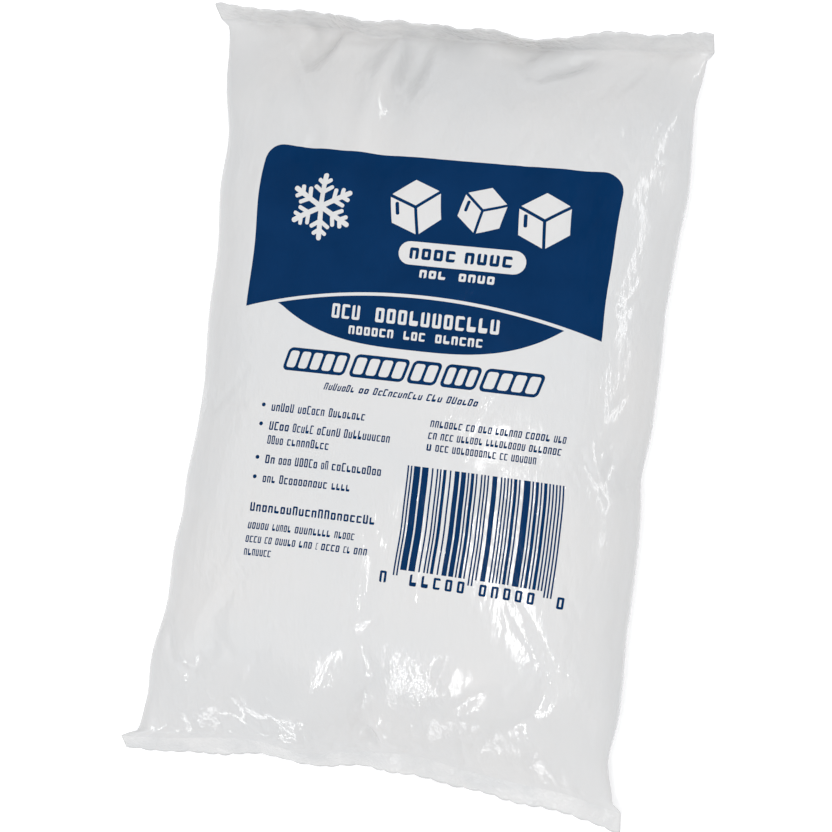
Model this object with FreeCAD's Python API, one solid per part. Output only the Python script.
"""A reusable ice pack: cooling gel sealed in a pillow pouch of plastic film, lying on its back.

The pouch is a film tube that is welded flat at both ends, so it is one closed solid.
Film doesn't stretch, so it is drawn as narrow flat strips that run the length of the tube
and crease along their edges, each as wide as half a tooth of the saw-cut ends.
X runs across the pack, Y along it towards the top weld, and Z up from the table.
The origin is on the table under the middle of the pack, and sizes are in millimetres.
"""

import FreeCAD, Part
import math
import os

Vector = FreeCAD.Vector

# The film tube and its two welds
tube_width = 101.6          # the tube pressed flat, as it is at both welds
pillow_length = 147.7       # between the two welds, at the sides
weld_band = 5.2             # width of the welded strip at each end
weld_thickness = 0.3        # two films melted together
top_bow = 1.0               # how far the filling draws the middle of the top weld inwards
bottom_bow = 4.0
weld_height = 6.4           # of the welds above the table
ripple_spread = 0.33        # how much taller a ripple is at the cut edge than at the weld

# How steeply the welded strips stand up, in degrees: less at the right, more where they crumple
top_lift = 72.0
right_less = 12.0
right_place = 28.0
upright_more = 12.0
upright_place = 12.0
upright_width = 14.0
bottom_lift = -38.0
droop_more = -22.0          # where the left of the bottom strip droops further
droop_place = -1.0
droop_less = 14.0           # where it droops less again
droop_less_place = -33.0
droop_less_width = 9.0
turn_width = 14.0           # over which a strip turns from one lift to the other

# The saw-cut ends
tooth_pitch = 3.175
tooth_depth = 0.6

# The gel inside
fold_height = 10.4          # of the side folds above the table
crown_height = 12.4         # of the upper film above the side folds
table_press = 0.9           # how far the lower film would sag below the table
crown_fullness = 2.35       # of the upper film's curve, where 2 is an ellipse and more is squarer
belly_fullness = 3.2        # of the lower film's curve
crease_start = 9.0          # over which the creases deepen from each weld
slope_length = 40.0         # over which the pack thickens from each weld
top_slope_power = 0.85      # less is a blunter end
bottom_slope_power = 0.6
level_length = 20.0         # over which the side folds climb from each weld

# The waist: how far each side is drawn in from the width at the welds
ear_length = 3.0
top_left_ear = 1.5
bottom_left_ear = 3.0
top_right_ear = 1.2
bottom_right_ear = 1.6
left_waist = 5.4
right_waist = 1.2
waist_power = 0.8

# The lap seam down the back of the tube
lap_width = 10.0
lap_offset = 4.0            # of the middle of the lap from the middle of the pack
lap_step = 0.15             # what the outer film stands proud
groove_width = 0.4          # of the line that the lap's free edge leaves in the flat back

# Ripples of the welds: place across, half width, rise, and how far they run into the pack
top_ripples = [
    (-47.0, 6.0, 1.4, 10.0),
    (-29.0, 3.2, -1.6, 26.0),
    (-21.0, 4.2, 2.3, 20.0),
    (-12.5, 3.2, 1.5, 32.0),
    (-6.0, 3.6, -1.3, 24.0),
    (6.0, 5.0, 1.7, 15.0),
    (15.0, 4.2, -1.5, 16.0),
    (29.0, 6.5, 1.2, 12.0),
    (41.0, 5.0, -0.9, 16.0),
    (48.5, 4.0, 1.0, 9.0),
]
bottom_ripples = [
    (-47.0, 6.0, 1.3, 10.0),
    (-34.0, 7.0, -0.9, 14.0),
    (-18.0, 6.0, 1.4, 18.0),
    (-9.0, 3.6, -1.4, 16.0),
    (-1.5, 3.4, -1.2, 24.0),
    (7.0, 5.0, 1.4, 18.0),
    (24.0, 8.0, -1.2, 14.0),
    (41.0, 6.0, 1.1, 18.0),
]

# Where the weld lines crumple outwards or inwards: place across, half width and how far out
top_bulges = [
    (-31.0, 7.0, 0.9),
    (-18.0, 4.0, -0.8),
    (-4.0, 4.0, 0.8),
    (26.0, 8.0, -0.5),
]
bottom_bulges = [
    (-40.0, 8.0, 0.5),
    (-12.0, 7.0, 1.8),
    (9.0, 7.0, -1.1),
    (40.0, 6.0, -0.6),
]

# Creases of the upper film: place across and along, half width, half length, depth, and lean in degrees
crown_creases = [
    (-29.0, 64.0, 2.6, 9.0, 1.0, -32.0),
    (-12.8, 60.0, 2.4, 12.0, -0.9, 4.0),
    (-8.5, 58.0, 2.6, 12.0, 0.8, 4.0),
    (16.0, 67.0, 2.4, 8.0, 0.8, -55.0),
    (41.5, 57.0, 2.6, 14.0, -0.9, -17.0),
    (36.0, 30.0, 2.8, 16.0, 0.6, 6.0),
    (-37.0, 40.0, 2.8, 11.0, 0.7, 4.0),
    (-36.0, 2.0, 3.0, 12.0, 0.6, -6.0),
    (-42.0, -56.0, 2.4, 8.0, 0.9, 24.0),
    (-26.0, -66.5, 2.2, 18.0, -0.7, 86.0),
    (-1.5, -64.0, 2.6, 8.0, 1.3, 24.0),
    (27.0, -63.0, 2.6, 14.0, 0.8, 66.0),
    (37.0, -58.0, 3.0, 12.0, -0.8, 40.0),
]

# Folds of the sides, where a bulge is less than 0: side, place along, half length and depth
side_folds = [
    (-1, 49.0, 9.0, 1.6),
    (-1, 26.0, 9.0, 0.7),
    (-1, -5.0, 12.0, 0.8),
    (-1, -28.0, 5.0, 0.5),
    (-1, -46.0, 8.0, 1.1),
    (-1, -64.0, 4.0, 0.4),
    (1, 63.0, 4.5, 0.6),
    (1, 46.0, 7.0, -0.8),
    (1, 22.0, 6.0, 0.4),
    (1, -10.0, 6.0, 0.9),
    (1, -41.0, 5.0, 0.3),
    (1, -64.5, 5.5, 1.5),
]

# How finely the film is drawn
strips_per_tooth = 2
rows_to_weld = 13           # from the middle of the pack to each weld
row_crowding = 1.35         # 1 is even spacing, and more draws the rows towards the welds
outline_steps = 240

half_tube = tube_width / 2
weld_line = pillow_length / 2
tooth_count = round(tube_width / tooth_pitch)
strip_count = tooth_count * strips_per_tooth
block_size = pillow_length + weld_band * 2


def smooth_step(share):
    """Climb gently from 0 to 1 as the share of the way goes from 0 to 1."""
    share = min(max(share, 0.0), 1.0)
    return share * share * (3 - 2 * share)


def bell(distance, half_width):
    """One soft hump, 1 high at its middle."""
    return math.exp(-((distance / half_width) ** 2))


def flat_x(strip):
    """Where the edge of a strip lies across the flat tube."""
    return tube_width * strip / strip_count - half_tube


def weld_y(end, x):
    """How far along the weld begins at this place across: its middle is drawn inwards, and it crumples."""
    bow = (top_bow if end > 0 else bottom_bow) * (1 - (x / half_tube) ** 2)
    bulges = top_bulges if end > 0 else bottom_bulges
    return weld_line - bow + sum(out * bell(x - place, half_width) for place, half_width, out in bulges)


def weld_lift(end, x):
    """How steeply a welded strip stands up at a place across, in radians."""
    if end > 0:
        less = right_less * smooth_step((x - right_place) / turn_width + 0.5)
        return math.radians(top_lift - less + upright_more * bell(x - upright_place, upright_width))
    droop = droop_more * smooth_step((droop_place - x) / turn_width + 0.5)
    return math.radians(bottom_lift + droop + droop_less * bell(x - droop_less_place, droop_less_width))


def ripple(end, x, depth):
    """Height of the weld's ripples at a place across the flat tube and a depth into the pack."""
    height = 0.0
    for place, half_width, rise, run in top_ripples if end > 0 else bottom_ripples:
        height += rise * bell(x - place, half_width) * max(0.0, 1 - depth / run) ** 2
    return height


def crease(x, y):
    """Height of the creases that the upper film takes over the gel."""
    height = 0.0
    for place, along, half_width, half_length, depth, lean in crown_creases:
        turn = math.radians(lean)
        across = (x - place) * math.cos(turn) - (y - along) * math.sin(turn)
        down = (x - place) * math.sin(turn) + (y - along) * math.cos(turn)
        height -= depth * bell(across, half_width) * bell(down, half_length)
    return height


def half_width(side, y):
    """The pack's reach to one side, with its ear by the weld, its waist and its folds."""
    depth = weld_line - abs(y)
    ear_share = smooth_step(depth / ear_length)
    top_ear, bottom_ear = (top_left_ear, bottom_left_ear) if side < 0 else (top_right_ear, bottom_right_ear)
    ear = bottom_ear + (top_ear - bottom_ear) * (1 + y / weld_line) / 2
    waist = left_waist if side < 0 else right_waist
    drawn_in = ear * ear_share + waist * math.sin(math.pi / 2 * depth / weld_line) ** waist_power
    for fold_side, place, half_length, fold_depth in side_folds:
        if fold_side == side:
            drawn_in += fold_depth * bell(y - place, half_length) * ear_share
    return half_tube - drawn_in


def outline(y, upper):
    """The curve of one film across the pack, from fold to fold, above or below the folds."""
    depth = weld_line - abs(y)
    squareness = smooth_step(depth / level_length)
    fullness = 2 + ((crown_fullness if upper else belly_fullness) - 2) * squareness
    slope_power = top_slope_power if y > 0 else bottom_slope_power
    thickening = math.sin(math.pi / 2 * min(depth / slope_length, 1.0)) ** slope_power
    height = thickening * (crown_height if upper else -fold_height - table_press)
    curve = []
    for step in range(outline_steps + 1):
        angle = math.pi * (1 - step / outline_steps)
        side = 1 if step * 2 > outline_steps else -1
        reach = abs(math.cos(angle)) ** (2 / fullness)
        curve.append((side * half_width(side, y) * reach, height * math.sin(angle) ** (2 / fullness)))
    return curve


def even_places(curve):
    """The edges of the strips on a curve: each strip takes the same length of film."""
    lengths = [0.0]
    for start, stop in zip(curve, curve[1:]):
        lengths.append(lengths[-1] + math.dist(start, stop))
    places = []
    step = 0
    for strip in range(strip_count + 1):
        wanted = lengths[-1] * strip / strip_count
        while step < outline_steps - 1 and lengths[step + 1] < wanted:
            step += 1
        share = (wanted - lengths[step]) / (lengths[step + 1] - lengths[step])
        x, z = (a + (b - a) * share for a, b in zip(curve[step], curve[step + 1]))
        places.append((x, z))
    return places


def pillow_row(along, upper):
    """One row of points across a film, between the welds: along is -1 to 1."""
    depth = weld_line * (1 - abs(along))
    end = 1 if along > 0 else -1
    level = weld_height + (fold_height - weld_height) * smooth_step(depth / level_length)
    row = []
    for strip, (x, swell) in enumerate(even_places(outline(weld_line * along, upper))):
        y = along * weld_y(end, flat_x(strip))
        z = level + swell + ripple(end, flat_x(strip), depth)
        if upper:
            away_from_fold = math.sin(math.pi * strip / strip_count)
            z += crease(x, y) * away_from_fold * smooth_step(depth / crease_start)
        tilt = end * weld_lift(end, flat_x(strip)) / 2 if abs(along) == 1 else 0
        row.append(film_point(x, y, z, upper, tilt))
    return row


def cut_row(end, upper):
    """The row of points along a saw-cut edge, where the strips' edges are crests and notches."""
    row = []
    for strip in range(strip_count + 1):
        x = flat_x(strip)
        lift = weld_lift(end, x)
        out = weld_band - (tooth_depth if strip % strips_per_tooth == 0 else 0)
        z = weld_height + ripple(end, x, 0) * (1 + ripple_spread) + out * math.sin(lift)
        y = end * (weld_y(end, x) + out * math.cos(lift))
        row.append(film_point(x, y, z, upper, end * lift))
    return row


def film_point(x, y, z, upper, tilt):
    """A point on the outside of the upper or lower film, half a weld from the middle, square to its tilt."""
    half = (weld_thickness if upper else -weld_thickness) / 2
    return Vector(x, y - half * math.sin(tilt), z + half * math.cos(tilt))


def film_rows(upper):
    """The rows of points of one film, from the bottom cut edge to the top one."""
    rows = [cut_row(-1, upper)]
    for step in range(-rows_to_weld, rows_to_weld + 1):
        to_weld = 1 - (1 - abs(step) / rows_to_weld) ** row_crowding
        rows.append(pillow_row(math.copysign(to_weld, step), upper))
    rows.append(cut_row(1, upper))
    return rows


def facet(*corners):
    """One flat triangle of film."""
    return Part.Face(Part.makePolygon([*corners, corners[0]]))


def facets_between(first, second):
    """The triangles between two neighbouring rows of points, creased along the shorter diagonal."""
    triangles = []
    for a, b, c, d in zip(first, first[1:], second[1:], second):
        if a.distanceToPoint(c) < b.distanceToPoint(d):
            triangles += [facet(a, b, c), facet(a, c, d)]
        else:
            triangles += [facet(a, b, d), facet(b, c, d)]
    return triangles


def pouch():
    """The film tube around its gel, closed by the two welded strips."""
    upper = film_rows(True)
    lower = film_rows(False)
    faces = []
    for rows in (upper, lower):
        for first, second in zip(rows, rows[1:]):
            faces += facets_between(first, second)
    for fold in (0, -1):
        faces += facets_between([row[fold] for row in lower], [row[fold] for row in upper])
    for cut_edge in (0, -1):
        faces += facets_between(lower[cut_edge], upper[cut_edge])
    shell = Part.Shell(faces)
    shell.sewShape()
    return Part.Solid(shell)


def upright_slab(middle, width):
    """A slab that stands along the pack, of a width across and far more than the pack's size."""
    slab = Part.makeBox(width, block_size * 2, block_size * 2)
    slab.translate(Vector(middle - width / 2, -block_size, -block_size))
    return slab


def block_below(level):
    """Everything under a level, as one block."""
    corner = Vector(-block_size, -block_size, level - block_size)
    return Part.makeBox(block_size * 2, block_size * 2, block_size, corner)


def with_lap_seam(shape):
    """The pouch with the lap of its back seam, where the outer film stands one film proud."""
    lap = shape.translated(Vector(0, 0, -lap_step)).common(upright_slab(lap_offset, lap_width))
    return shape.fuse(lap)


def pressed_flat(shape):
    """The pouch as the table presses its back: flat, with a groove along the lap's free edge."""
    free_edge = lap_offset + (lap_width + groove_width) / 2
    groove = upright_slab(free_edge, groove_width).common(block_below(lap_step))
    return shape.cut(block_below(0)).cut(groove)


def gel_pouch():
    """The whole pack, with the middle of its box over the origin."""
    pack = pressed_flat(with_lap_seam(pouch()))
    middle = pack.BoundBox.Center
    pack.translate(Vector(-middle.x, -middle.y, 0))
    return pack


pack = gel_pouch()
os.makedirs("parts", exist_ok=True)
pack.exportStep("parts/gel_pouch.step")
box = pack.BoundBox
print("Gel pouch: one solid", pack.isValid() and len(pack.Solids) == 1, "with", len(pack.Faces), "faces")
print(f"{box.XLength:.1f} x {box.YLength:.1f} x {box.ZLength:.1f} mm and {pack.Volume / 1000:.1f} cm3")
